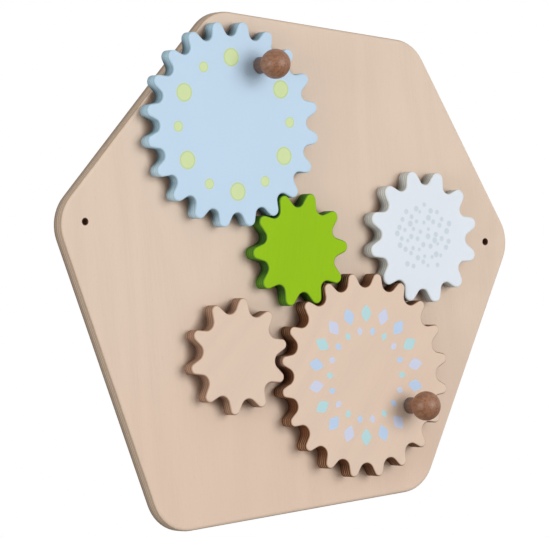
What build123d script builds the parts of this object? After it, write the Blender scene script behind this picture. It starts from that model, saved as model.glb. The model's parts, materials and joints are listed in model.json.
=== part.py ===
from build123d import *

import os
from math import cos, radians, sin, sqrt

# Wall panel with five hand-turned plywood gears, two of them with a ball knob.
#
# Frame: the panel's back face lies in the plane Y = 0 and its front looks towards -Y,
# +X runs to the right and +Z up. The origin is midway between the two wall screw holes.
# A height is a distance out from the wall, towards the reader. Sizes are in millimetres.

# ---- panel ---------------------------------------------------------------------
panel_width = 569.0            # between the side corners, before they are rounded
panel_height = 533.0           # between the highest and the lowest corner
panel_rise = 222.0             # the highest corner above the wall holes
panel_thickness = 15.0
panel_corner_radius = 42.0
panel_front_round = 4.0
panel_back_chamfer = 1.0
wall_hole_inset = 34.5         # from the side corners
wall_hole_diameter = 7.0

# the uneven outline: the side corners stand above the wall holes, and the others stand
# in from the nearer side corner and below the highest or above the lowest corner
side_corner_rise = 4.0
top_left_inset = 180.5
top_right_inset = 133.5
top_right_drop = 16.0
bottom_left_inset = 137.5
bottom_right_inset = 107.5
bottom_right_lift = 48.0

# ---- gear teeth, of one basic form on every gear ----------------------------------
tooth_size = 10.0                    # pitch diameter over the number of teeth
tooth_rise = 0.82 * tooth_size       # tip above the middle of the flank
tooth_fall = 0.67 * tooth_size       # root below the middle of the flank
tooth_tip_radius = 0.56 * tooth_size
flank_lean = 20.0                    # degrees between a flank and the tooth's middle line

# ---- gears -------------------------------------------------------------------------
gear_gap = 3.0                       # air between the panel and a gear
gear_thickness = 15.0
large_gear_thickness = 18.0
gear_front_round = 2.2
gear_back_chamfer = 0.6
large_teeth = 20
blue_teeth = 20
white_teeth = 12
green_teeth = 10
small_teeth = 10

# how far the middle of the flanks stands outside the pitch circle
large_flank_offset = -2.0
blue_flank_offset = -4.4
white_flank_offset = 0.0
green_flank_offset = 0.0
small_flank_offset = 1.0

# how far each gear's outline stands outside the basic tooth form, square to it
large_fullness = 0.0
blue_fullness = 0.8
white_fullness = 1.6
green_fullness = 0.9
small_fullness = 0.2

# places: the large gear first, then each gear's direction from its mate, in degrees
# from +X, and what their centres stand further apart than the two pitch radii
large_gear_centre = (82.3, -145.1)
large_tooth_angle = 11.2             # direction of one tooth, degrees from +X
green_from_large = 123.4
green_mesh_spare = 1.6
blue_from_green = 124.7
blue_mesh_spare = 0.2
white_from_large = 63.3
white_mesh_spare = 3.5
small_from_large = 174.3
small_mesh_spare = 7.0

# ---- axle of each gear: a shoulder screw put in from behind the panel -------------
axle_diameter = 10.0
running_gap = 0.05             # radial, shaft in bush
press_gap = 0.02               # radial, pressed piece in its hole
bush_wall = 2.0
bush_flange_diameter = 24.0
screw_head_diameter = 18.0
screw_head_height = 4.5
screw_hex_size = 6.0
screw_hex_depth = 3.0
screw_head_recess = 1.0        # head below the face that it is put in from
screw_thread_diameter = 8.0
washer_lip = 1.5               # radial, washer past the screw's head
washer_thickness = 1.5
washer_gap = 0.2               # radial, washer round its shaft
pocket_gap = 1.0               # radial, washer in its pocket
insert_wall = 2.0              # from the thread to the insert's widest barb
insert_cover = 4.5             # wood left in front of the insert's hole
insert_barb_depth = 0.5
insert_barb_count = 3
thread_gap = 0.05              # radial, screw in insert
thread_short = 1.0             # thread shorter than its insert
pocket_spare = 0.5             # blind hole deeper than what it holds
edge_break = 0.4               # small chamfer on turned pieces

# ---- ball knobs: each turns on a shoulder screw put in from behind its gear --------
ball_diameter = 30.5
ball_height = 29.0             # ball's centre above the gear's face
blue_knob_reach = 68.0         # from the gear's centre
blue_knob_angle = 65.0         # degrees from +X
large_knob_reach = 64.0
large_knob_angle = -28.4
knob_foot_diameter = 17.4
knob_neck_diameter = 15.6
knob_foot_chamfer = 0.8
knob_neck_round = 2.5
knob_axle_diameter = 6.0
knob_bush_wall = 1.5
knob_flange_diameter = 14.0
knob_flange_thickness = 1.0
knob_head_diameter = 11.0
knob_head_height = 3.0
knob_hex_size = 4.0
knob_hex_depth = 2.0
knob_head_recess = 1.5
knob_thread_diameter = 5.0
knob_washer_lip = 0.75
knob_washer_thickness = 1.0
knob_insert_wall = 1.5
knob_insert_length = 12.0

os.makedirs("parts", exist_ok=True)


# ---- places ----------------------------------------------------------------------
def out_plane(place, height, angle=0.0):
    """A plane parallel to the wall that looks out of it, its X at an angle to the right."""
    along = (cos(radians(angle)), 0, sin(radians(angle)))
    return Plane(origin=(place[0], -height, place[1]), x_dir=along, z_dir=(0, -1, 0))


def in_plane(place, height):
    """A plane parallel to the wall that looks into it, for holes made from behind."""
    return Plane(origin=(place[0], -height, place[1]), x_dir=(1, 0, 0), z_dir=(0, 1, 0))


def turning_plane(place, height):
    """A plane through an axle's line: local X is the radius, local Y the height."""
    return Plane(origin=(place[0], -height, place[1]), x_dir=(1, 0, 0), z_dir=(0, 0, -1))


def axle_line(place):
    return Axis((place[0], 0, place[1]), (0, -1, 0))


def beside(place, distance, angle):
    """The point at a distance from a place, in a direction in degrees from +X."""
    turn = radians(angle)
    return (place[0] + distance * cos(turn), place[1] + distance * sin(turn))


def save(piece, name):
    piece.part.label = name
    export_step(piece.part, f"parts/{name}.step")


# ---- gear train --------------------------------------------------------------------
class Gear:
    """One gear's teeth, size and place, and the ball knob's place if it has one."""

    def __init__(self, name, teeth, flank_offset, fullness, centre, tooth_angle):
        self.name = name
        self.teeth = teeth
        self.pitch_radius = tooth_size * teeth / 2
        self.tip_reach = self.pitch_radius + flank_offset + tooth_rise + fullness
        self.root_reach = self.pitch_radius + flank_offset - tooth_fall + fullness
        self.tip_round = tooth_tip_radius + fullness
        self.centre = centre
        self.tooth_angle = tooth_angle
        self.back = panel_thickness + gear_gap
        self.front = self.back + gear_thickness
        self.knob_place = None


def meshed(name, teeth, flank_offset, fullness, mate, angle, spare):
    """A gear in mesh with its mate: a tooth of one stands in the middle of a gap of the other.

    The angle is the direction from the mate to this gear, and spare is what the
    centres stand further apart than the two pitch radii.
    """
    distance = mate.pitch_radius + tooth_size * teeth / 2 + spare
    teeth_past_mate_tooth = (angle - mate.tooth_angle) * mate.teeth / 360
    tooth_angle = (angle + 180 - (0.5 - teeth_past_mate_tooth) * 360 / teeth) % (360 / teeth)
    centre = beside(mate.centre, distance, angle)
    return Gear(name, teeth, flank_offset, fullness, centre, tooth_angle)


large = Gear(
    "large", large_teeth, large_flank_offset, large_fullness, large_gear_centre, large_tooth_angle
)
green = meshed(
    "green", green_teeth, green_flank_offset, green_fullness, large, green_from_large, green_mesh_spare
)
blue = meshed(
    "blue", blue_teeth, blue_flank_offset, blue_fullness, green, blue_from_green, blue_mesh_spare
)
white = meshed(
    "white", white_teeth, white_flank_offset, white_fullness, large, white_from_large, white_mesh_spare
)
small = meshed(
    "small", small_teeth, small_flank_offset, small_fullness, large, small_from_large, small_mesh_spare
)
gears = [blue, green, white, large, small]

blue.knob_place = beside(blue.centre, blue_knob_reach, blue_knob_angle)
large.knob_place = beside(large.centre, large_knob_reach, large_knob_angle)
large.front = large.back + large_gear_thickness
knob_gears = [blue, large]

# ---- sizes that follow from the ones above ---------------------------------------------
bush_radius = axle_diameter / 2 + running_gap + bush_wall
washer_diameter = screw_head_diameter + 2 * washer_lip
screw_pocket_radius = washer_diameter / 2 + pocket_gap
screw_pocket_depth = screw_head_recess + screw_head_height + washer_thickness
insert_diameter = screw_thread_diameter + 2 * insert_wall
insert_length = gear_thickness - insert_cover - pocket_spare

knob_bush_radius = knob_axle_diameter / 2 + running_gap + knob_bush_wall
knob_washer_diameter = knob_head_diameter + 2 * knob_washer_lip
knob_pocket_radius = knob_washer_diameter / 2 + pocket_gap
knob_pocket_depth = knob_head_recess + knob_head_height + knob_washer_thickness
knob_insert_diameter = knob_thread_diameter + 2 * knob_insert_wall


# ---- panel ---------------------------------------------------------------------------
panel_side = panel_width / 2
panel_bottom = panel_rise - panel_height
panel_corners = [
    (top_left_inset - panel_side, panel_rise),
    (panel_side - top_right_inset, panel_rise - top_right_drop),
    (panel_side, side_corner_rise),
    (panel_side - bottom_right_inset, panel_bottom + bottom_right_lift),
    (bottom_left_inset - panel_side, panel_bottom),
    (-panel_side, side_corner_rise),
]
wall_holes = [in_plane((side * (panel_side - wall_hole_inset), 0), 0) for side in (-1, 1)]

with BuildPart() as panel:
    with BuildSketch(out_plane((0, 0), 0)):
        with BuildLine():
            FilletPolyline(*panel_corners, radius=panel_corner_radius, close=True)
        make_face()
    extrude(amount=panel_thickness)
    fillet(panel.faces().sort_by(Axis.Y)[0].edges(), radius=panel_front_round)
    chamfer(panel.faces().sort_by(Axis.Y)[-1].edges(), length=panel_back_chamfer)
    with Locations(*[in_plane(gear.centre, 0) for gear in gears]):
        CounterBoreHole(
            radius=bush_radius + press_gap,
            counter_bore_radius=screw_pocket_radius,
            counter_bore_depth=screw_pocket_depth,
        )
    with Locations(*wall_holes):
        Hole(radius=wall_hole_diameter / 2)
save(panel, "panel")


# ---- gears ---------------------------------------------------------------------------
def tooth_flank(gear):
    """Ends of one flank, the straight line that touches the tip's round and the root's round.

    Local X runs along the tooth from the gear's centre. The tip's round is centred on
    it, and the root's round on the middle of the gap, half a pitch further on. The
    root's round is as large as makes it touch the flank.
    """
    half_pitch = radians(180 / gear.teeth)
    normal = radians(90 - flank_lean)
    tip_x = gear.tip_reach - gear.tip_round
    across = cos(normal - half_pitch)
    root_radius = (
        gear.root_reach * across - tip_x * cos(normal) - gear.tip_round
    ) / (1 - across)
    root_x = (gear.root_reach + root_radius) * cos(half_pitch)
    root_y = (gear.root_reach + root_radius) * sin(half_pitch)
    top = Vector(tip_x + gear.tip_round * cos(normal), gear.tip_round * sin(normal))
    foot = Vector(root_x - root_radius * cos(normal), root_y - root_radius * sin(normal))
    return top, foot


def draw_teeth(gear):
    """The gear's closed outline: for each tooth its tip, a flank, the root and a flank."""
    top, foot = tooth_flank(gear)
    pitch = 360 / gear.teeth
    tip = Vector(gear.tip_reach, 0)
    root = Vector(gear.root_reach, 0)
    for number in range(gear.teeth):
        here = number * pitch
        after = here + pitch
        tip_end = top.rotate(Axis.Z, here)
        root_start = foot.rotate(Axis.Z, here)
        root_end = Vector(foot.X, -foot.Y).rotate(Axis.Z, after)
        next_tip_start = Vector(top.X, -top.Y).rotate(Axis.Z, after)
        tip_start = Vector(top.X, -top.Y).rotate(Axis.Z, here)
        ThreePointArc(tip_start, tip.rotate(Axis.Z, here), tip_end)
        Line(tip_end, root_start)
        ThreePointArc(root_start, root.rotate(Axis.Z, here + pitch / 2), root_end)
        Line(root_end, next_tip_start)


for gear in gears:
    with BuildPart() as wheel:
        with BuildSketch(out_plane(gear.centre, gear.back, gear.tooth_angle)):
            with BuildLine():
                draw_teeth(gear)
            make_face()
        extrude(amount=gear.front - gear.back)
        fillet(wheel.faces().sort_by(Axis.Y)[0].edges(), radius=gear_front_round)
        chamfer(wheel.faces().sort_by(Axis.Y)[-1].edges(), length=gear_back_chamfer)
        with Locations(in_plane(gear.centre, gear.back)):
            Hole(radius=insert_diameter / 2 + press_gap, depth=insert_length + pocket_spare)
        if gear.knob_place:
            with Locations(in_plane(gear.knob_place, gear.back)):
                CounterBoreHole(
                    radius=knob_bush_radius + press_gap,
                    counter_bore_radius=knob_pocket_radius,
                    counter_bore_depth=knob_pocket_depth,
                )
    save(wheel, f"{gear.name}_gear")


# ---- turned metal and nylon pieces -----------------------------------------------------
def build_washer(place, height, thickness, diameter, shaft_diameter, name):
    """A flat ring from a height outwards."""
    with BuildPart() as washer:
        with BuildSketch(out_plane(place, height)):
            Circle(diameter / 2)
            Circle(shaft_diameter / 2 + washer_gap, mode=Mode.SUBTRACT)
        extrude(amount=thickness)
    save(washer, name)


def build_bush(place, start, face, top, radius, flange_radius, bore_radius, name):
    """A sleeve from start to a face, with a flange from that face to its top."""
    with BuildPart() as bush:
        with BuildSketch(out_plane(place, start)):
            Circle(radius)
        extrude(amount=face - start)
        with BuildSketch(out_plane(place, face)):
            Circle(flange_radius)
        extrude(amount=top - face)
        chamfer(bush.faces().sort_by(Axis.Y)[0].edges(), length=edge_break)
        with Locations(in_plane(place, start)):
            Hole(radius=bore_radius)
    save(bush, name)


def build_screw(place, heights, diameters, hex_size, hex_depth, name):
    """A shoulder screw with a hexagon socket: head, shoulder and thread, from behind outwards."""
    with BuildPart() as screw:
        for start, end, diameter in zip(heights, heights[1:], diameters):
            with BuildSketch(out_plane(place, start)):
                Circle(diameter / 2)
            extrude(amount=end - start)
        chamfer(screw.edges().filter_by(GeomType.CIRCLE).sort_by(Axis.Y)[0], length=edge_break)
        chamfer(screw.edges().filter_by(GeomType.CIRCLE).sort_by(Axis.Y)[-1], length=edge_break)
        with BuildSketch(out_plane(place, heights[0])):
            RegularPolygon(radius=hex_size / 2, side_count=6, major_radius=False)
        extrude(amount=hex_depth, mode=Mode.SUBTRACT)
    save(screw, name)


def build_insert(place, start, length, diameter, thread_diameter, name):
    """A threaded sleeve with barbs that hold it in the wood."""
    barb_length = length / insert_barb_count
    core_radius = diameter / 2 - insert_barb_depth
    with BuildPart() as insert:
        for number in range(insert_barb_count):
            low = number * barb_length
            with BuildSketch(turning_plane(place, start)):
                Polygon(
                    (0, low),
                    (diameter / 2, low),
                    (core_radius, low + barb_length),
                    (0, low + barb_length),
                    align=None,
                )
            revolve(axis=axle_line(place))
        with Locations(in_plane(place, start)):
            Hole(radius=thread_diameter / 2 + thread_gap)
    save(insert, name)


# ---- axle set of each gear ---------------------------------------------------------------
for gear in gears:
    washer_start = screw_pocket_depth - washer_thickness
    head_start = washer_start - screw_head_height
    build_washer(
        gear.centre, washer_start, washer_thickness, washer_diameter, axle_diameter,
        f"{gear.name}_thrust_washer",
    )
    build_bush(
        gear.centre, screw_pocket_depth, panel_thickness, gear.back, bush_radius,
        bush_flange_diameter / 2, axle_diameter / 2 + running_gap, f"{gear.name}_bush",
    )
    build_screw(
        gear.centre,
        (head_start, washer_start, gear.back, gear.back + insert_length - thread_short),
        (screw_head_diameter, axle_diameter, screw_thread_diameter),
        screw_hex_size, screw_hex_depth, f"{gear.name}_axle_screw",
    )
    build_insert(
        gear.centre, gear.back, insert_length, insert_diameter, screw_thread_diameter,
        f"{gear.name}_insert",
    )


# ---- ball knobs and their axle sets ---------------------------------------------------------
for gear in knob_gears:
    place = gear.knob_place
    foot = gear.front + knob_flange_thickness
    ball_radius = ball_diameter / 2
    neck_radius = knob_neck_diameter / 2
    ball_level = ball_height - knob_flange_thickness
    neck_level = ball_level - sqrt(ball_radius**2 - neck_radius**2)
    with BuildPart() as knob:
        with BuildSketch(turning_plane(place, foot)):
            with BuildLine():
                ball_top = (0, ball_level + ball_radius)
                neck_top = (neck_radius, neck_level)
                Polyline(ball_top, (0, 0), (knob_foot_diameter / 2, 0), neck_top)
                ThreePointArc(neck_top, (ball_radius, ball_level), ball_top)
            make_face()
        revolve(axis=axle_line(place))
        rings = knob.edges().filter_by(GeomType.CIRCLE).filter_by(Plane.XZ).sort_by(Axis.Y)
        fillet(rings[0], radius=knob_neck_round)
        chamfer(rings[-1], length=knob_foot_chamfer)
        with Locations(in_plane(place, foot)):
            Hole(radius=knob_insert_diameter / 2 + press_gap, depth=knob_insert_length + pocket_spare)
    save(knob, f"{gear.name}_knob")

    knob_floor = gear.back + knob_pocket_depth
    knob_washer_start = knob_floor - knob_washer_thickness
    knob_head_start = knob_washer_start - knob_head_height
    build_washer(
        place, knob_washer_start, knob_washer_thickness, knob_washer_diameter, knob_axle_diameter,
        f"{gear.name}_knob_washer",
    )
    build_bush(
        place, knob_floor, gear.front, foot, knob_bush_radius,
        knob_flange_diameter / 2, knob_axle_diameter / 2 + running_gap, f"{gear.name}_knob_bush",
    )
    build_screw(
        place,
        (knob_head_start, knob_washer_start, foot, foot + knob_insert_length - thread_short),
        (knob_head_diameter, knob_axle_diameter, knob_thread_diameter),
        knob_hex_size, knob_hex_depth, f"{gear.name}_knob_screw",
    )
    build_insert(
        place, foot, knob_insert_length, knob_insert_diameter, knob_thread_diameter,
        f"{gear.name}_knob_insert",
    )

for gear in gears:
    x, z = gear.centre
    print(f"{gear.name} gear: centre ({x:.2f}, {z:.2f}), tooth at {gear.tooth_angle:.2f} degrees")
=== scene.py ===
# %% [markdown]
# # A wall panel with five turning gears
#
# The object is a plywood board with six uneven sides. Five toothed plywood wheels turn
# in front of it, and two of them carry a ball knob to turn them by. Every shape here
# comes from the frame, so this lesson is about finish: how flat sheets of birch
# plywood, lacquer, stain and turned hardwood get their look from shader nodes alone.
#
# First the frame is loaded. It brings one object for each real piece, at its real
# place, in metres: X runs right, Y into the wall and Z up.

# %% load the frame
import json
from math import cos, radians, sin, tau

import bpy
from mathutils import Matrix, Vector


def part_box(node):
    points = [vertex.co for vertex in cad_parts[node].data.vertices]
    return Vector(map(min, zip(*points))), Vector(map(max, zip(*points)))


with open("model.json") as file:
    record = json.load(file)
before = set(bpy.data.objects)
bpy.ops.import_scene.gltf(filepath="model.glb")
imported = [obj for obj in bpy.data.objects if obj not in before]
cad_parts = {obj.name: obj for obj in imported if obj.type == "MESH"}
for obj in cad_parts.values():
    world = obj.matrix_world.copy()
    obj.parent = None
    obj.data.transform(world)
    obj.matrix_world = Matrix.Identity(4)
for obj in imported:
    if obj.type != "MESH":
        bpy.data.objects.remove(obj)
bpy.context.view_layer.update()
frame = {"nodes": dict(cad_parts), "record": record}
nodes = frame["nodes"]
scene = bpy.context.scene

# %% [markdown]
# ## The camera
#
# A photograph of a flat thing says exactly where the camera stood: circles turn into
# ellipses, and the side of each gear that shows gives the angle. The camera is put on
# a line through a point on the board, by azimuth, elevation and distance, which reads
# better than three coordinates. A long lens at almost 4 m keeps the perspective weak.

# %% camera
mm = 0.001
camera_target = Vector((-34.8, -34.6, -39.5)) * mm
camera_distance = 3.85
camera_azimuth = radians(-34.54)
camera_elevation = radians(-1.77)
camera_roll = radians(1.27)
camera_lens = 248.2
sensor_width = 36.0

towards_camera = Vector((
    sin(camera_azimuth) * cos(camera_elevation),
    -cos(camera_azimuth) * cos(camera_elevation),
    sin(camera_elevation),
))
camera = bpy.data.objects.new("camera", bpy.data.cameras.new("camera"))
camera.data.lens = camera_lens
camera.data.sensor_width = sensor_width
camera.location = camera_target + towards_camera * camera_distance
looking = (-towards_camera).to_track_quat("-Z", "Y").to_matrix()
camera.rotation_euler = (looking @ Matrix.Rotation(camera_roll, 3, "Z")).to_euler()
scene.collection.objects.link(camera)
scene.camera = camera
scene.view_settings.view_transform = "Standard"
print("camera at", [round(x, 3) for x in camera.location])

# %% [markdown]
# ## Lamps
#
# The knobs throw a soft shadow to the left and a little down, a third as long as they
# are high. So there is one large soft lamp almost in front, a little to the right and
# above, far enough away to light the whole board alike. The sides of the gears that it
# doesn't reach are still half as bright on the tips and dark between the teeth. So a
# second lamp stands far to the left, where it reaches the tips and hardly grazes the
# faces. A third one stands behind the wall's plane and reaches only the board's back,
# which would otherwise be too dark to look at. A sun would be simpler, but its shadows
# are sharp, and a picture of a studio would be one more file.


# %% lamps
def soft_lamp(name, direction, distance, side, power):
    """A square lamp that looks at the origin from a direction."""
    direction = Vector(direction).normalized()
    lamp = bpy.data.objects.new(name, bpy.data.lights.new(name, "AREA"))
    lamp.data.size = side
    lamp.data.energy = power
    lamp.location = direction * distance
    lamp.rotation_euler = (-direction).to_track_quat("-Z", "Y").to_euler()
    scene.collection.objects.link(lamp)
    print(name, "of", power, "W")


soft_lamp("key_lamp", (0.28, -0.93, 0.15), distance=6.0, side=3.6, power=220.0)
soft_lamp("fill_lamp", (-0.97, -0.20, -0.06), distance=4.0, side=2.0, power=74.0)
soft_lamp("back_lamp", (0.25, 0.95, 0.10), distance=6.0, side=3.6, power=120.0)

# %% [markdown]
# ## Adding nodes
#
# The world and every finish are trees of shader nodes. Each node could be written out in
# five lines, but then the idea of a finish is lost among its links. So one helper adds
# a node, sets its choices, and fills or links its inputs. Two more give the result of a
# sum on numbers or on vectors, and another takes a vector apart. With them a tree reads
# like a formula.


# %% helpers for nodes
def add(tree, kind, inputs=None, **settings):
    """Adds a shader node. Its inputs are values or sockets, by the input's name or number."""
    made = tree.nodes.new(kind)
    for name, value in settings.items():
        setattr(made, name, value)
    for name, value in (inputs or {}).items():
        if isinstance(value, bpy.types.NodeSocket):
            tree.links.new(value, made.inputs[name])
        else:
            made.inputs[name].default_value = value
    return made


def maths(tree, operation, *values):
    """One Math node's result."""
    return add(tree, "ShaderNodeMath", dict(enumerate(values)), operation=operation).outputs[0]


def vector_maths(tree, operation, *values):
    """One Vector Math node's result, which is a number where the operation is LENGTH."""
    made = add(tree, "ShaderNodeVectorMath", dict(enumerate(values)), operation=operation)
    return made.outputs["Value" if operation == "LENGTH" else "Vector"]


def split(tree, vector):
    """A vector's three numbers."""
    return add(tree, "ShaderNodeSeparateXYZ", {0: vector}).outputs


# %% [markdown]
# ## The world
#
# A dim, even world lights what the lamps leave in shade. To the camera and in
# reflections it is white, which gives the plain white background and lets lacquer and
# metal show it too. A white wall behind the object would do the same, but it would throw
# light back on the board. The Light Path node tells the two cases apart instead.

# %% world
world_light = 0.40
world_white = 1.0

world = bpy.data.worlds.new("studio")
scene.world = world
world.use_nodes = True
tree = world.node_tree
tree.nodes.clear()
path = add(tree, "ShaderNodeLightPath")
seen = maths(tree, "MAXIMUM", path.outputs["Is Camera Ray"], path.outputs["Is Glossy Ray"])
strength = add(tree, "ShaderNodeMapRange", {"Value": seen, "To Min": world_light, "To Max": world_white})
background = add(
    tree, "ShaderNodeBackground", {"Color": (1, 1, 1, 1), "Strength": strength.outputs[0]}
)
add(tree, "ShaderNodeOutputWorld", {"Surface": background.outputs[0]})
print("a world of", world_light, "as a light, and of", world_white, "to the camera")

# %% [markdown]
# ## The floor
#
# The panel hangs on a wall, so the floor lies well below it. It is plain and pale.
# Painted pure white, it would throw too much light up at the edges. So it is grey as a
# surface, and to the camera it glows on top of what falls on it: it ends up about as
# white as the world behind it and still shows the object's soft shadow.

# %% floor
floor_level = -0.75
floor_half = 8.0
floor_grey = 0.5
floor_glow = 0.75

floor_mesh = bpy.data.meshes.new("floor")
corners = [(x * floor_half, y * floor_half, floor_level) for x, y in ((-1, -1), (1, -1), (1, 1), (-1, 1))]
floor_mesh.from_pydata(corners, [], [range(len(corners))])
floor = bpy.data.objects.new("floor", floor_mesh)
scene.collection.objects.link(floor)

floor_paint = bpy.data.materials.new("floor_paint")
floor_paint.use_nodes = True
tree = floor_paint.node_tree
tree.nodes.clear()
path = add(tree, "ShaderNodeLightPath")
glow = maths(tree, "MULTIPLY", path.outputs["Is Camera Ray"], floor_glow)
matt = add(tree, "ShaderNodeBsdfDiffuse", {"Color": (floor_grey, floor_grey, floor_grey, 1)})
shine = add(tree, "ShaderNodeEmission", {"Color": (1, 1, 1, 1), "Strength": glow})
both = add(tree, "ShaderNodeAddShader", {0: matt.outputs[0], 1: shine.outputs[0]})
add(tree, "ShaderNodeOutputMaterial", {"Surface": both.outputs[0]})
floor_mesh.materials.append(floor_paint)
print("floor at", floor_level, "m")

# %% [markdown]
# ## Colours, steps and noise
#
# A finish is built from the same few steps again and again: a smooth step from one
# value to another, a mix of two colours, and stretched noise. Each gets a short
# helper. Colours are written as they look on a screen, 0 to 255, and turned into the
# linear values that light works with.


# %% helpers for finishes
def paint(red, green, blue):
    """A screen colour, 0 to 255, as linear light."""
    def linear(value):
        share = value / 255
        return share / 12.92 if share <= 0.04045 else ((share + 0.055) / 1.055) ** 2.4
    return (linear(red), linear(green), linear(blue), 1.0)


def shade(colour, factor):
    """A colour made lighter or darker."""
    return tuple(min(1.0, channel * factor) for channel in colour[:3]) + (1.0,)


def rise(tree, value, low, high, start=0.0, end=1.0):
    """A smooth step: start below low, end above high."""
    made = add(
        tree, "ShaderNodeMapRange",
        {"Value": value, "From Min": low, "From Max": high, "To Min": start, "To Max": end},
        interpolation_type="SMOOTHSTEP",
    )
    return made.outputs["Result"]


def mixed(tree, share, first, second, blend="MIX"):
    """Two colours mixed, or blended another way, by a share."""
    made = add(
        tree, "ShaderNodeMix", {0: share, 6: first, 7: second}, data_type="RGBA", blend_type=blend
    )
    return made.outputs[2]


def stretched_noise(tree, place, cells, detail=2.0, roughness=0.5):
    """Noise from 0 to 1, with so many cells a metre along X, Y and Z."""
    scaled = vector_maths(tree, "MULTIPLY", place, cells)
    made = add(
        tree, "ShaderNodeTexNoise",
        {"Vector": scaled, "Scale": 1.0, "Detail": detail, "Roughness": roughness},
    )
    return made.outputs[0]


# %% [markdown]
# ## Node groups
#
# An effect that several finishes share could be copied into each of them, but then every
# change has to be made five times. So it is a node group, built once. It has named
# inputs and outputs like a tool with dials: each material places it with its own
# values. The groups here put out only masks and numbers, and each material keeps its
# own shader.


# %% helpers for groups
def new_group(name, inputs, outputs):
    """An empty node group with named sockets. Returns its tree, inputs and output node."""
    tree = bpy.data.node_groups.new(name, "ShaderNodeTree")
    kinds = {"value": "NodeSocketFloat", "vector": "NodeSocketVector"}
    for socket, kind in inputs.items():
        tree.interface.new_socket(socket, in_out="INPUT", socket_type=kinds[kind])
    for socket in outputs:
        tree.interface.new_socket(socket, in_out="OUTPUT", socket_type=kinds["value"])
    return tree, tree.nodes.new("NodeGroupInput").outputs, tree.nodes.new("NodeGroupOutput")


def put_out(tree, result, outputs):
    """Links a group's results to its named outputs."""
    for name, socket in outputs.items():
        tree.links.new(socket, result.inputs[name])
    print("group", tree.name, "gives", ", ".join(outputs))


def use_group(tree, group, inputs):
    """Places a group in a tree and returns its outputs."""
    made = tree.nodes.new("ShaderNodeGroup")
    made.node_tree = group
    for name, value in inputs.items():
        if isinstance(value, bpy.types.NodeSocket):
            tree.links.new(value, made.inputs[name])
        else:
            made.inputs[name].default_value = value
    return made.outputs


# %% [markdown]
# ## Veneer grain
#
# The outer sheet of birch plywood is peeled off the log like paper off a roll. Its
# figure is made of slow, nested flames, because the knife crosses the year rings at
# changing depths. A Wave texture gives stripes, but they all look alike. Contour lines
# of a smooth, stretched noise draw flames that never repeat. Over that lie thin fibres,
# a millimetre wide and some centimetres long, and short dark pores. The group gives
# each as a mask, and a material decides how strong it is.

# %% veneer grain group
flames_per_metre = (7.0, 2.0, 1.5)
fibres_per_metre = (1100, 300, 28)
pores_per_metre = (2600, 900, 170)
contours = 75.0
fibre_range = (0.25, 0.75)
pore_range = (0.70, 0.78)

veneer_grain, given, result = new_group(
    "veneer_grain",
    {"Place": "vector", "Turn": "value", "Start": "vector"},
    ("Figure", "Fibres", "Pores"),
)
turned_place = add(
    veneer_grain, "ShaderNodeVectorRotate",
    {"Vector": given["Place"], "Center": (0, 0, 0), "Angle": given["Turn"]}, rotation_type="Y_AXIS",
).outputs[0]
shifted = vector_maths(veneer_grain, "ADD", turned_place, given["Start"])
field = stretched_noise(veneer_grain, shifted, flames_per_metre, detail=1.2, roughness=0.35)
contour = maths(veneer_grain, "SINE", maths(veneer_grain, "MULTIPLY", field, contours))
strands = stretched_noise(veneer_grain, shifted, fibres_per_metre, detail=3.0, roughness=0.65)
dashes = stretched_noise(veneer_grain, shifted, pores_per_metre, detail=1.0)
put_out(veneer_grain, result, {
    "Figure": rise(veneer_grain, contour, -1.0, 1.0),
    "Fibres": rise(veneer_grain, strands, *fibre_range),
    "Pores": rise(veneer_grain, dashes, *pore_range),
})

# %% [markdown]
# ## Plies
#
# A sawn or milled edge shows the sheets that the board is glued from, nine of them in
# 15 mm. Every second one is cut across its fibres, drinks more lacquer and turns
# darker. Between two sheets there is a thin dark line of glue. Lines painted on an
# unwrapped edge would have to follow every tooth. But the sheets are flat, so the height
# over the wall tells which one a point is in, on any outline. A slow noise keeps the
# lines from being perfectly straight.

# %% plies group
wander_cells = (40, 0, 40)
wander_width = 0.5 * mm
glue_line = (0.05, 0.14)

plies, given, result = new_group(
    "plies",
    {"Place": "vector", "Back": "value", "Sheet": "value"},
    ("Across", "Glue", "Tone", "Height"),
)
height = maths(plies, "MULTIPLY", split(plies, given["Place"])[1], -1.0)
slow = stretched_noise(plies, given["Place"], wander_cells, detail=1.0)
wander = maths(plies, "MULTIPLY_ADD", slow, wander_width, -wander_width / 2)
over_back = maths(plies, "SUBTRACT", maths(plies, "ADD", height, wander), given["Back"])
counted = maths(plies, "DIVIDE", over_back, given["Sheet"])
number = maths(plies, "FLOOR", counted)
inside = maths(plies, "FRACT", counted)
from_line = maths(plies, "MINIMUM", inside, maths(plies, "SUBTRACT", 1.0, inside))
put_out(plies, result, {
    "Across": maths(plies, "FLOORED_MODULO", number, 2.0),
    "Glue": rise(plies, from_line, *glue_line, 1.0, 0.0),
    "Tone": add(plies, "ShaderNodeTexWhiteNoise", {"W": number}, noise_dimensions="1D").outputs[0],
    "Height": over_back,
})

# %% [markdown]
# ## Face, edge and rim
#
# One board has two finishes: veneer on the face, plies on the edge, and a round rim
# between them. They could be three materials on chosen faces, but the change from
# one to the next would be a hard line. The surface normal in the object's own space
# tells them apart softly. On the face it points along Y, on the edge it lies flat in
# the wall's plane, and on the rounded rim it swings from one to the other. In patches
# along the rim the colour is lighter: partly wear, partly a painted highlight where the
# rounded rim catches the light.

# %% board zones group
edge_range = (0.66, 0.975)
off_edge_range = (0.3, 0.75)
off_face_range = (0.93, 0.995)
patches_per_metre = (70, 70, 70)
patch_range = (0.45, 0.7)

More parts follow.
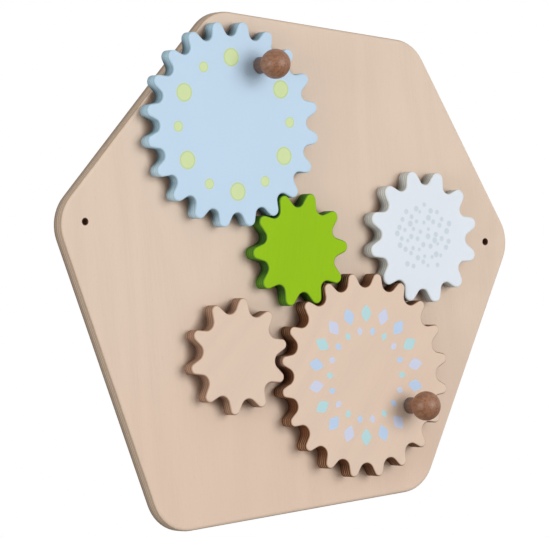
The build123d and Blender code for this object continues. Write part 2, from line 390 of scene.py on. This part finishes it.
board_zones, given, result = new_group(
    "board_zones", {"Normal": "vector", "Place": "vector"}, ("Edge", "Rim Wear And Sheen")
)
out = maths(board_zones, "ABSOLUTE", split(board_zones, given["Normal"])[1])
off_edge = rise(board_zones, out, *off_edge_range)
off_face = rise(board_zones, out, *off_face_range, 1.0, 0.0)
rim = maths(board_zones, "MULTIPLY", off_edge, off_face)
patches = stretched_noise(board_zones, given["Place"], patches_per_metre, detail=4.0, roughness=0.6)
put_out(board_zones, result, {
    "Edge": rise(board_zones, out, *edge_range, 1.0, 0.0),
    # lighter rim patches: partly wear, partly painted highlight
    "Rim Wear And Sheen": maths(board_zones, "MULTIPLY", rim, rise(board_zones, patches, *patch_range)),
})

# %% [markdown]
# ## Between the teeth
#
# The gaps between the teeth are darkened: partly browning, where the cutter runs hot
# and lacquer gathers in the roots, and partly painted shade, the shade that falls deep
# between the teeth. An Ambient Occlusion node would find the gaps, but it changes as the
# gears turn past each other, and this painted mark doesn't. How deep a point lies below
# the tips is the tip radius less its distance from the gear's centre, in tooth heights,
# and that turns with the gear.

# %% tooth depth group
tooth_height = 15 * mm

tooth_depth, given, result = new_group(
    "tooth_depth", {"Place": "vector", "Centre": "vector", "Tip Radius": "value"}, ("Depth",)
)
centred = vector_maths(tooth_depth, "SUBTRACT", given["Place"], given["Centre"])
flat = vector_maths(tooth_depth, "MULTIPLY", centred, (1, 0, 1))
reach = vector_maths(tooth_depth, "LENGTH", flat)
below_tips = maths(tooth_depth, "SUBTRACT", given["Tip Radius"], reach)
put_out(tooth_depth, result, {"Depth": maths(tooth_depth, "DIVIDE", below_tips, tooth_height)})

# %% [markdown]
# ## Printed motifs
#
# Two gears carry rings of printed motifs. Thin pieces of colour laid on the gear would
# do, but print has no thickness. A ring of equal motifs needs one motif only: the angle
# round the gear's centre is folded into a single slice, and in that slice the distance
# to the motif's middle is measured. The power in that distance sets its shape: 2 is a
# disc, 1 is a diamond, and a little more than 1 is a diamond with swollen sides.

# %% motif ring group
motif_rim = (0.96, 1.02)
outline_start = (0.78, 0.86)

motif_ring, given, result = new_group(
    "motif_ring",
    {
        "Place": "vector", "Centre": "vector", "Ring Radius": "value", "Count": "value",
        "Turn": "value", "Half Length": "value", "Half Width": "value", "Power": "value",
    },
    ("Inside", "Outline"),
)
centred = vector_maths(motif_ring, "SUBTRACT", given["Place"], given["Centre"])
right, _, up = split(motif_ring, centred)
angle = maths(motif_ring, "SUBTRACT", maths(motif_ring, "ARCTAN2", up, right), given["Turn"])
slice_angle = maths(motif_ring, "DIVIDE", tau, given["Count"])
half_slice = maths(motif_ring, "DIVIDE", slice_angle, 2.0)
in_slice = maths(motif_ring, "FLOORED_MODULO", maths(motif_ring, "ADD", angle, half_slice), slice_angle)
folded = maths(motif_ring, "SUBTRACT", in_slice, half_slice)
squares = [maths(motif_ring, "MULTIPLY", part, part) for part in (right, up)]
reach = maths(motif_ring, "SQRT", maths(motif_ring, "ADD", *squares))
along = maths(motif_ring, "MULTIPLY", reach, maths(motif_ring, "COSINE", folded))
outwards = maths(motif_ring, "SUBTRACT", along, given["Ring Radius"])
sideways = maths(motif_ring, "MULTIPLY", reach, maths(motif_ring, "SINE", folded))
powers = []
for offset, half in ((outwards, given["Half Length"]), (sideways, given["Half Width"])):
    share = maths(motif_ring, "DIVIDE", maths(motif_ring, "ABSOLUTE", offset), half)
    powers.append(maths(motif_ring, "POWER", share, given["Power"]))
root = maths(motif_ring, "DIVIDE", 1.0, given["Power"])
distance = maths(motif_ring, "POWER", maths(motif_ring, "ADD", *powers), root)
filled = rise(motif_ring, distance, *motif_rim, 1.0, 0.0)
put_out(motif_ring, result, {
    "Inside": filled,
    "Outline": maths(motif_ring, "MULTIPLY", rise(motif_ring, distance, *outline_start), filled),
})

# %% [markdown]
# ## Which piece gets which finish
#
# The record says which finish each piece has, so no list of pieces is written here. A
# new material goes to all the pieces of its finish, and takes the place of the plain one
# that they came with. A gear's centre and reach could be typed in as numbers too, but
# they are read from the frame, so that the patterns stay on their gears.


# %% helpers for pieces
def new_finish(slot):
    """A new, empty material, given to every piece whose finish the record names so."""
    material = bpy.data.materials.new(slot)
    material.use_nodes = True
    material.node_tree.nodes.clear()
    used = [part["node"] for part in frame["record"]["subparts"] if part["material_slot"] == slot]
    for name in used:
        nodes[name].data.materials.clear()
        nodes[name].data.materials.append(material)
    print("finish", slot, "on", len(used), "pieces")
    return material.node_tree


def gear_centre(name):
    """The middle of a gear, from its washer, which is round."""
    low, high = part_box(f"{name}_thrust_washer")
    middle = (low + high) / 2
    return Vector((middle.x, 0, middle.z))


def tip_radius(name):
    """How far a gear's teeth reach, from the widest side of its box."""
    low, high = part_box(f"{name}_gear")
    return max(high.x - low.x, high.z - low.z) / 2


def tooth_depths(tree, place, gears):
    """For each gear, how deep a point lies below its tips."""
    return [
        use_group(tree, tooth_depth, {
            "Place": place, "Centre": gear_centre(name), "Tip Radius": tip_radius(name),
        })["Depth"]
        for name in gears
    ]


def deepest(tree, depths):
    """The largest of some depths."""
    largest = depths[0]
    for depth in depths[1:]:
        largest = maths(tree, "MAXIMUM", largest, depth)
    return largest


# %% [markdown]
# ## The face of a board
#
# The face of the wood is pale and quiet. A ramp of picked colours could draw it, but a
# stained board would need a ramp of its own. So there is one base colour, and shades of
# it: the flames are a little darker, the fibres a little lighter and the pores much
# darker, and slow clouds keep a large board from looking flat. Opaque lacquer hides the
# grain almost wholly, thin stain lets it through, so each finish only sets how strong
# each part is.

# %% face colour
flame_shade = 0.90
fibre_shade = 1.06
pore_shade = 0.72
cloud_shade = 0.965
clouds_per_metre = (9, 9, 5)
cloud_range = (0.3, 0.75)
cloud_share = 0.5


def face_colour(tree, place, grain, face, figure, fibres, pores):
    """The colour of the outer veneer."""
    flames = maths(tree, "MULTIPLY", grain["Figure"], figure)
    colour = mixed(tree, flames, face, shade(face, flame_shade))
    strands = maths(tree, "MULTIPLY", grain["Fibres"], fibres)
    colour = mixed(tree, strands, colour, shade(face, fibre_shade))
    dashes = maths(tree, "MULTIPLY", grain["Pores"], pores)
    colour = mixed(tree, dashes, colour, shade(face, pore_shade))
    clouds = stretched_noise(tree, place, clouds_per_metre)
    clouds = rise(tree, clouds, *cloud_range, 0.0, cloud_share)
    return mixed(tree, clouds, colour, shade(face, cloud_shade))


# %% [markdown]
# ## The edge of a board
#
# The edge starts as light and dark sheets, no two quite alike, with glue lines and fine
# specks. Then it is darkened: the gaps between the teeth are browned and get painted
# shade, and the foot of the edge, near the board behind it, gets painted shade too. One
# finish is shared by two gears, and the second one was cut from a paler board: the gear
# that a point lies deeper inside says which board it is. The darkening could be mixed in
# first, under the sheets, but then pale sheets stay pale in the deepest gap. Here it
# comes on top, and last of all the sheets darken it once more, so that they still show.

# %% edge colour
edge_light = paint(196, 152, 118)
edge_dark = paint(106, 70, 46)
edge_glue = paint(70, 44, 28)
sheet_thickness = 15 / 9 * mm
foot_height = 11 * mm
tone_share = 0.35
tone_shade = 0.85
glue_share = 0.8
specks_per_metre = (900, 900, 900)
speck_range = (0.4, 0.75)
speck_share = 0.45
speck_shade = 0.8
# browning and painted shade in the gaps, and painted shade at the edge's foot
brown_shade_range = (0.15, 0.9)
foot_range = (0.0, 0.6)
foot_on_tips = 0.35
foot_shade = 0.25
pale_range = (-0.1, 0.1)
ply_shadow = (0.60, 0.55, 0.52, 1.0)
across_shadow = 0.55
print("sheets of", round(sheet_thickness / mm, 2), "mm")


def sheets_colour(tree, place, layers, edge, ply_strength):
    """A fresh edge: light and dark sheets, glue lines and specks."""
    light, dark, glue = edge
    across = maths(tree, "MULTIPLY", layers["Across"], ply_strength)
    side = mixed(tree, across, light, dark)
    tone = maths(tree, "MULTIPLY", layers["Tone"], tone_share * ply_strength)
    side = mixed(tree, tone, side, shade(dark, tone_shade))
    lines = maths(tree, "MULTIPLY", layers["Glue"], glue_share * ply_strength)
    side = mixed(tree, lines, side, glue)
    specks = stretched_noise(tree, place, specks_per_metre)
    specks = rise(tree, specks, *speck_range, 0.0, speck_share)
    return mixed(tree, specks, side, shade(dark, speck_shade))


def browned_and_shaded_edge(tree, place, layers, side, gears, browned_and_shaded, shaded_brown, foot_shade_share, pale_share, pale):
    """Browning and painted shade in the gaps, a paler second gear, and painted shade at the foot of the
    edge.
    """
    # painted shade at the foot of the edge, near the board behind, strongest in the gaps
    foot_shade_mask = rise(tree, layers["Height"], 0.0, foot_height, foot_shade_share, 0.0)
    if gears:
        depths = tooth_depths(tree, place, gears)
        depth = deepest(tree, depths)
        # browning and painted shade in the gaps between the teeth
        side = mixed(tree, rise(tree, depth, *brown_shade_range, 0.0, browned_and_shaded), side, shaded_brown)
        in_gaps = rise(tree, depth, *foot_range, foot_on_tips, 1.0)
        foot_shade_mask = maths(tree, "MULTIPLY", foot_shade_mask, in_gaps)
    if pale_share:
        on_second = maths(tree, "SUBTRACT", depths[1], depths[0])
        side = mixed(tree, rise(tree, on_second, *pale_range, 0.0, pale_share), side, pale)
    return mixed(tree, foot_shade_mask, side, shade(shaded_brown, foot_shade))


def sheet_shadow(tree, layers, side, ply_strength):
    """The sheets and glue lines once more, as a darker tone over whatever the edge is."""
    across = maths(tree, "MULTIPLY", layers["Across"], across_shadow)
    darker = maths(tree, "MAXIMUM", layers["Glue"], across)
    darker = maths(tree, "MULTIPLY", darker, ply_strength)
    return mixed(tree, darker, side, ply_shadow, blend="MULTIPLY")


# %% [markdown]
# ## A whole board, bare or stained
#
# The panel and the five gears are cut from the same kind of board, in five finishes.
# These could be built one by one, but they differ only in their values. So they share
# one recipe: the face, the edge, the zones that choose between them, and a bump from
# fibres, pores and glue lines. A finish can add motifs, and painted shade with a warmer
# tone, to its face, and stains with painted shade to the whole board, each as a function
# that takes a colour and gives it back changed. Raw edges are a little rougher than
# lacquered faces.

# %% board recipe
# a lighter rim: partly wear, partly painted highlight
wear_and_sheen_shade = 1.12
fibre_height = 0.5
bump_height = 0.06 * mm
bump_strength = 0.35
rough_spread = 0.06
edge_roughness = 0.12
wood_specular = 0.12


def board_material(
    slot, back, face, edge=(edge_light, edge_dark, edge_glue), turn=0.0, start=(0, 0, 0),
    figure=0.5, fibres=0.5, pores=0.5, ply_strength=1.0, wear_and_sheen_share=0.2, roughness=0.55, rim_wear_and_sheen=None,
    motifs=None, face_shade_and_tone=None, stains_and_shade=None, gears=(), browned_and_shaded=0.0, shaded_brown=(0, 0, 0, 1),
    foot_shade_share=0.0, pale_share=0.0, pale=(1, 1, 1, 1),
):
    """A finish for a board whose back lies at a height over the wall.

    Turn and start place the grain. Figure, fibres, pores and ply strength say how much of
    each shows. Rim wear and sheen is the lighter colour of the rim's patches, partly wear and
    partly painted highlight. The named gears' gaps are browned and get painted shade, the
    foot shade share is how much painted shade darkens the edge near its back, and of two
    gears the second can be paler.
    """
    tree = new_finish(slot)
    coordinates = add(tree, "ShaderNodeTexCoord").outputs
    place = coordinates["Object"]
    grain = use_group(tree, veneer_grain, {"Place": place, "Turn": radians(turn), "Start": start})
    layers = use_group(tree, plies, {"Place": place, "Back": back, "Sheet": sheet_thickness})
    zones = use_group(tree, board_zones, {"Normal": coordinates["Normal"], "Place": place})

    colour = face_colour(tree, place, grain, face, figure, fibres, pores)
    for change in (motifs, face_shade_and_tone):
        colour = change(tree, place, colour) if change else colour
    side = sheets_colour(tree, place, layers, edge, ply_strength)
    # painted shade in the gaps and at the foot of the edge
    side = browned_and_shaded_edge(tree, place, layers, side, gears, browned_and_shaded, shaded_brown, foot_shade_share, pale_share, pale)
    side = sheet_shadow(tree, layers, side, ply_strength)
    colour = mixed(tree, zones["Edge"], colour, side)
    colour = stains_and_shade(tree, place, colour) if stains_and_shade else colour
    # lighter patches on the rim: partly wear, partly painted highlight
    wear_and_sheen = maths(tree, "MULTIPLY", zones["Rim Wear And Sheen"], wear_and_sheen_share)
    colour = mixed(tree, wear_and_sheen, colour, rim_wear_and_sheen or shade(face, wear_and_sheen_shade))

    raised = maths(tree, "MULTIPLY", grain["Fibres"], fibre_height)
    surface = maths(tree, "SUBTRACT", raised, grain["Pores"])
    grooves = maths(tree, "MULTIPLY", layers["Glue"], zones["Edge"])
    surface = maths(tree, "SUBTRACT", surface, grooves)
    bump = add(
        tree, "ShaderNodeBump", {"Height": surface, "Strength": bump_strength, "Distance": bump_height}
    )
    rough = rise(tree, grain["Fibres"], 0.0, 1.0, roughness - rough_spread, roughness + rough_spread)
    rough = maths(tree, "ADD", rough, maths(tree, "MULTIPLY", zones["Edge"], edge_roughness))
    shader = add(tree, "ShaderNodeBsdfPrincipled", {
        "Base Color": colour, "Roughness": rough, "Normal": bump.outputs[0],
        "Specular IOR Level": wood_specular,
    })
    add(tree, "ShaderNodeOutputMaterial", {"Surface": shader.outputs[0]})


# %% [markdown]
# ## The panel
#
# Behind the teeth the panel is darkened with painted shade, where the gears shade it at
# their feet. Its lower end is a little warmer. The two holes for the wall screws have no
# lacquer inside, and their walls and rims are darker: partly raw wood, partly painted
# shade inside the holes. Painted masks would need a picture. Each mark here is a mask
# from sizes that the frame knows: how deep a point lies inside a gear's tips, how high it
# is, and how far from a hole. Y runs into the wall, so the front face has negative places
# along it, and the back, at 0, stays clean.

# %% panel
panel_face = paint(224, 202, 183)
# painted shade on the panel behind the gears' teeth
panel_gap_shade = paint(110, 68, 38)
panel_gap_shade_range = (0.05, 0.75)
panel_gap_shade_share = 0.6
front_range = (-12 * mm, -8 * mm)
warm_wood = (1.0, 0.955, 0.93, 1.0)
warm_range = (-240 * mm, -60 * mm)
warm_share = 0.8
# hole walls and rims: raw wood, darkened further with painted shade
hole_stain_and_shade = paint(100, 54, 28)
hole_stain_and_shade_share = 0.9
hole_stain_and_shade_width = 0.8 * mm
wall_holes = next(mount for mount in frame["record"]["mounts"] if mount["name"] == "wall_holes")
hole_spacing = wall_holes["dims"]["spacing_x_mm"] * mm
hole_radius = wall_holes["dims"]["hole_r_mm"] * mm
print("wall holes", round(hole_spacing / mm), "mm apart, radius", round(hole_radius / mm, 1), "mm")


def panel_gap_shade_and_warmth(tree, place, colour):
    """Painted shade behind the teeth of every gear, and warmer wood at the lower end."""
    depth = deepest(tree, tooth_depths(tree, place, ("large", "small", "blue", "green", "white")))
    _, into_wall, up = split(tree, place)
    front = rise(tree, into_wall, *front_range, 1.0, 0.0)
    # painted shade where a point lies inside a gear's tips, on the front face
    panel_gap_shade_mask = maths(tree, "MULTIPLY", rise(tree, depth, *panel_gap_shade_range, 0.0, panel_gap_shade_share), front)
    colour = mixed(tree, panel_gap_shade_mask, colour, panel_gap_shade)
    lower_end = rise(tree, up, *warm_range, warm_share, 0.0)
    return mixed(tree, lower_end, colour, warm_wood, blend="MULTIPLY")


def hole_stains_and_shade(tree, place, colour):
    """Darker walls and rims in the two wall holes, partly raw wood and partly painted shade; the holes
    lie level, one each side of the middle.
    """
    right, _, up = split(tree, place)
    from_middle = maths(tree, "ABSOLUTE", right)
    aside = maths(tree, "SUBTRACT", from_middle, hole_spacing / 2)
    flat = add(tree, "ShaderNodeCombineXYZ", {"X": aside, "Y": up}).outputs[0]
    reach = vector_maths(tree, "LENGTH", flat)
    # the hole's wall and rim darkened: raw wood and painted shade
    rim = rise(tree, reach, hole_radius, hole_radius + hole_stain_and_shade_width, hole_stain_and_shade_share, 0.0)
    return mixed(tree, rim, colour, hole_stain_and_shade)


# the panel's edge gets painted shade near the wall
board_material(
    "panel_plywood", 0.0, panel_face,
    edge=(paint(230, 207, 184), paint(210, 186, 162), paint(166, 141, 118)),
    turn=8, figure=0.35, ply_strength=0.8, face_shade_and_tone=panel_gap_shade_and_warmth, stains_and_shade=hole_stains_and_shade,
    shaded_brown=paint(120, 98, 80), foot_shade_share=0.5,
)

# %% [markdown]
# ## The natural gears and their diamonds
#
# The large and the small gear are bare birch under clear lacquer, with gaps strongly
# browned and darkened with painted shade. The large one carries diamonds in three pale
# tints: an outer ring, and a ring of small ones that fill its gaps. One ring of eighteen
# would need its tint worked out from its number, so each tint has six places of its own
# instead, and the three are turned against each other. The knob covers one of the outer
# diamonds.

# %% natural gears
gear_back = 18 * mm
diamond_tints = [paint(183, 218, 222), paint(189, 209, 235), paint(206, 211, 232)]
diamonds_per_tint = 6
tint_step = 20
outer_diamonds = {"radius": 64, "first": -28.4, "half_length": 9.0, "half_width": 6.5}
inner_diamonds = {"radius": 46, "first": -18.4, "half_length": 4.5, "half_width": 3.5}
diamond_power = 1.25
print("large gear: centre", [round(x / mm, 1) for x in gear_centre("large")], "mm")


def diamonds(tree, place, colour):
    """Three tints of diamond in turn, in an outer and an inner ring."""
    centre = gear_centre("large")
    for number, tint in enumerate(diamond_tints):
        for row, row_tint in ((outer_diamonds, tint), (inner_diamonds, diamond_tints[number - 1])):
            ring = use_group(tree, motif_ring, {
                "Place": place, "Centre": centre, "Ring Radius": row["radius"] * mm,
                "Count": diamonds_per_tint, "Turn": radians(row["first"] + tint_step * number),
                "Half Length": row["half_length"] * mm, "Half Width": row["half_width"] * mm,
                "Power": diamond_power,
            })
            colour = mixed(tree, ring["Inside"], colour, row_tint)
    return colour


# gaps browned and darkened with painted shade, and painted shade at the foot of the edges
board_material(
    "natural_plywood", gear_back, paint(224, 200, 180), turn=-35, start=(0.3, 0, 0.1), figure=0.35,
    motifs=diamonds, gears=("large", "small"), browned_and_shaded=0.85, shaded_brown=paint(118, 74, 46), foot_shade_share=0.7,
    pale_share=0.5, pale=paint(200, 170, 148),
)

# %% [markdown]
# ## The blue gear and its discs
#
# Light blue lacquer covers this gear almost wholly, edges too. Its rim is lighter in
# patches, partly worn thin and partly a painted highlight. Its ring has large and small
# discs in turn, in pale leaf green with a darker line round them. The line could be a
# second, larger disc underneath, but the motif group already knows how far a point is
# from the middle, and gives the line from that. The knob covers one of the small discs.

# %% blue gear
disc_ring = 68 * mm
disc_count = 6
disc_power = 2.0
small_disc = {"turn": 65, "radius": 5.5}
large_disc = {"turn": 95, "radius": 9.5}
disc_green = paint(210, 225, 168)
disc_line = paint(186, 208, 146)
disc_line_share = 0.6


def discs(tree, place, colour):
    """Large and small discs in turn, in one ring."""
    centre = gear_centre("blue")
    for disc in (small_disc, large_disc):
        ring = use_group(tree, motif_ring, {
            "Place": place, "Centre": centre, "Ring Radius": disc_ring, "Count": disc_count,
            "Turn": radians(disc["turn"]), "Half Length": disc["radius"] * mm,
            "Half Width": disc["radius"] * mm, "Power": disc_power,
        })
        colour = mixed(tree, ring["Inside"], colour, disc_green)
        line = maths(tree, "MULTIPLY", ring["Outline"], disc_line_share)
        colour = mixed(tree, line, colour, disc_line)
    return colour


board_material(
    "blue_stain", gear_back, paint(195, 218, 238),
    edge=(paint(198, 228, 244), paint(182, 215, 233), paint(148, 185, 203)),
    figure=0.06, fibres=0.12, pores=0.1, ply_strength=0.45, rim_wear_and_sheen=paint(212, 230, 244),
    motifs=discs, gears=("blue",), browned_and_shaded=0.45, shaded_brown=paint(104, 134, 146), foot_shade_share=0.9,
)

# %% [markdown]
# ## The green gear
#
# This stain is thin and strong in colour, so the grain shows through it. It has no
# pattern. Its edges drink more stain than its face and are darker. A darker copy of the
# face's colour would look dull there, so the edge has greens of its own.

# %% green gear
board_material(
    "green_stain", gear_back, paint(148, 193, 8),
    edge=(paint(108, 162, 50), paint(86, 136, 40), paint(54, 90, 30)),
    turn=-4, start=(0.1, 0, 0.4), figure=0.45, fibres=0.8, pores=0.35, ply_strength=0.8,
    rim_wear_and_sheen=paint(166, 206, 60), gears=("green",), browned_and_shaded=0.7, shaded_brown=paint(36, 70, 32), foot_shade_share=0.8,
)

# %% [markdown]
# ## The white gear and its dots
#
# A field of small pale grey-blue dots is spread unevenly over the middle of the white
# gear. Rings of dots would be easy with the motif group, but they would look drawn with
# a compass. A Voronoi texture scatters one point in each square cell, and the distance
# to the nearest point draws a dot. Each cell also has a colour of its own, which serves
# as a dice throw for the dot's size.

# %% white gear
dot_spacing = 9 * mm
dot_field = 36 * mm
dot_turn = radians(27)
dot_scatter = 0.5
dot_sizes = (0.24, 0.38)
dot_rim = (-0.12, 0.06)
dot_colour = paint(205, 215, 224)


def dots(tree, place, colour):
    """Small dots, unevenly spread in a round field."""
    centred = vector_maths(tree, "SUBTRACT", place, gear_centre("white"))
    right, _, up = split(tree, centred)
    flat = add(tree, "ShaderNodeCombineXYZ", {"X": right, "Y": up}).outputs[0]
    turned_flat = add(
        tree, "ShaderNodeVectorRotate", {"Vector": flat, "Center": (0, 0, 0), "Angle": dot_turn},
        rotation_type="Z_AXIS",
    ).outputs[0]
    cells = add(
        tree, "ShaderNodeTexVoronoi",
        {"Vector": turned_flat, "Scale": 1 / dot_spacing, "Randomness": dot_scatter},
        voronoi_dimensions="2D",
    ).outputs
    far = vector_maths(tree, "LENGTH", cells["Position"])
    throw = add(tree, "ShaderNodeSeparateColor", {0: cells["Color"]}).outputs[0]
    size = rise(tree, throw, 0.0, 1.0, *dot_sizes)
    past_rim = maths(tree, "SUBTRACT", cells["Distance"], size)
    in_field = maths(tree, "LESS_THAN", far, dot_field)
    spot = maths(tree, "MULTIPLY", rise(tree, past_rim, *dot_rim, 1.0, 0.0), in_field)
    return mixed(tree, spot, colour, dot_colour)


board_material(
    "white_stain", gear_back, paint(227, 233, 241),
    edge=(paint(240, 245, 243), paint(208, 214, 211), paint(176, 181, 177)),
    figure=0.05, fibres=0.12, pores=0.1, ply_strength=0.6, rim_wear_and_sheen=paint(232, 235, 240),
    motifs=dots, gears=("white",), browned_and_shaded=0.35, shaded_brown=paint(152, 154, 146), foot_shade_share=0.7,
)

# %% [markdown]
# ## Turned hardwood knobs
#
# A knob is cut on a lathe from one straight rod, so its fibres run along its axle and
# come out as bent stripes on the ball's sides. The veneer's flames would be wrong here,
# and stripes laid round a ball would not meet at its ends. A noise in space that is long
# along the axle is right by itself, wherever the lathe cuts through it. The dark stain
# sinks deepest into the open pores. The neck is darker and greyer than the ball: that is
# painted shade, under the ball. A satin lacquer gives one broad, soft highlight.

# %% knob finish
# the neck's painted shade, under the ball
neck_start = 38 * mm
neck_end = 56 * mm
neck_shade_share = 0.75
stripe_range = (0.3, 0.7)
line_range = (0.55, 0.7)
line_share = 0.6
gloss_range = (0.2, 0.8)
knob_roughness = (0.42, 0.52)
knob_specular = 0.7
knob_bump_height = 0.05 * mm
knob_bump_strength = 0.3
knob_dark = paint(122, 78, 50)
knob_light = paint(158, 108, 74)
knob_line = paint(88, 54, 36)
knob_neck_shade = paint(74, 68, 68)
stripes_per_metre = (520, 50, 520)
lines_per_metre = (1900, 170, 1900)

tree = new_finish("walnut_stain")
place = add(tree, "ShaderNodeTexCoord").outputs["Object"]
stripes = stretched_noise(tree, place, stripes_per_metre, detail=3.0, roughness=0.6)
lines = stretched_noise(tree, place, lines_per_metre)
colour = mixed(tree, rise(tree, stripes, *stripe_range), knob_dark, knob_light)
colour = mixed(tree, rise(tree, lines, *line_range, 0.0, line_share), colour, knob_line)
over_wall = maths(tree, "MULTIPLY", split(tree, place)[1], -1.0)
# painted shade on the neck, under the ball
colour = mixed(tree, rise(tree, over_wall, neck_start, neck_end, neck_shade_share, 0.0), colour, knob_neck_shade)
relief = maths(tree, "SUBTRACT", stripes, lines)
bump = add(
    tree, "ShaderNodeBump",
    {"Height": relief, "Strength": knob_bump_strength, "Distance": knob_bump_height},
)
shader = add(tree, "ShaderNodeBsdfPrincipled", {
    "Base Color": colour, "Roughness": rise(tree, stripes, *gloss_range, *knob_roughness),
    "Normal": bump.outputs[0], "Specular IOR Level": knob_specular,
})
add(tree, "ShaderNodeOutputMaterial", {"Surface": shader.outputs[0]})

# %% [markdown]
# ## Screws, inserts, washers and bushes
#
# From behind, each gear shows the head of the shoulder screw that it turns on, with a
# nylon washer under it. Inside the wood are brass inserts and nylon bushes. Turned
# metal carries fine rings round its axle, and moulded nylon is slightly uneven. True
# rings would need each small part's own axis. At this size a fine noise, closer along
# the axle than across it, stands for both.

# %% metal and nylon
clouds_on_parts = (160, 160, 160)
part_range = (0.3, 0.7)
smoother = 0.05
rougher = 0.08
part_bump_height = 0.02 * mm
part_bump_strength = 0.2


def small_part_material(slot, colour, metallic, roughness, tone, grain):
    """A plain hard finish with fine variation in tone and gloss, grain cells a metre."""
    tree = new_finish(slot)
    place = add(tree, "ShaderNodeTexCoord").outputs["Object"]
    fine = stretched_noise(tree, place, (grain, 3 * grain, grain), detail=3.0)
    broad = stretched_noise(tree, place, clouds_on_parts)
    tinted = mixed(tree, rise(tree, broad, *part_range), colour, shade(colour, tone))
    bump = add(
        tree, "ShaderNodeBump",
        {"Height": fine, "Strength": part_bump_strength, "Distance": part_bump_height},
    )
    shader = add(tree, "ShaderNodeBsdfPrincipled", {
        "Base Color": tinted, "Metallic": metallic, "Normal": bump.outputs[0],
        "Roughness": rise(tree, fine, *part_range, roughness - smoother, roughness + rougher),
    })
    add(tree, "ShaderNodeOutputMaterial", {"Surface": shader.outputs[0]})


small_part_material(
    "zinc_steel", paint(206, 208, 212), metallic=1.0, roughness=0.28, tone=0.86, grain=700
)
small_part_material("brass", paint(214, 176, 104), metallic=1.0, roughness=0.25, tone=0.85, grain=700)
small_part_material("nylon", paint(232, 230, 220), metallic=0.0, roughness=0.48, tone=0.95, grain=500)
